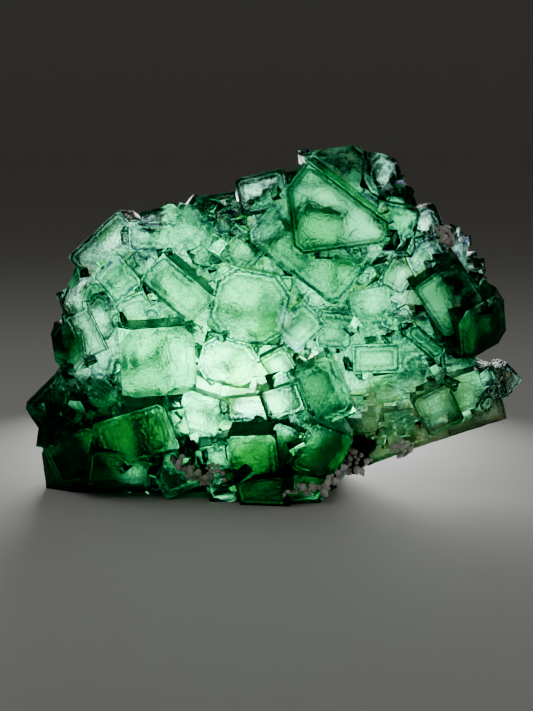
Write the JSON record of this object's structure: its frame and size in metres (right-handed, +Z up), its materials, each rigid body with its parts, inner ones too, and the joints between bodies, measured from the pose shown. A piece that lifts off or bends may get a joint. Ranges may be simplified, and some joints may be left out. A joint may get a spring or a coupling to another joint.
{
  "type": "fluorite crystal cluster",
  "caption": "Translucent green cluster of intergrown cube-shaped fluorite crystals with clipped corners and a crust of quartz grains, standing on its flat lower edge as a mineral specimen.",
  "frame": {"origin": "on the surface it stands on, under the middle of its bounding box", "axes": "+X along the width, to the right of a viewer of the show face; +Y from the show face to the back; +Z up"},
  "size_m": [0.113, 0.0414, 0.0792],
  "materials": {
    "fluorite": "vitreous, translucent green"
  },
  "bodies": {
    "root": {"fluorite_cluster": "fluorite"}
  },
  "joints": []
}
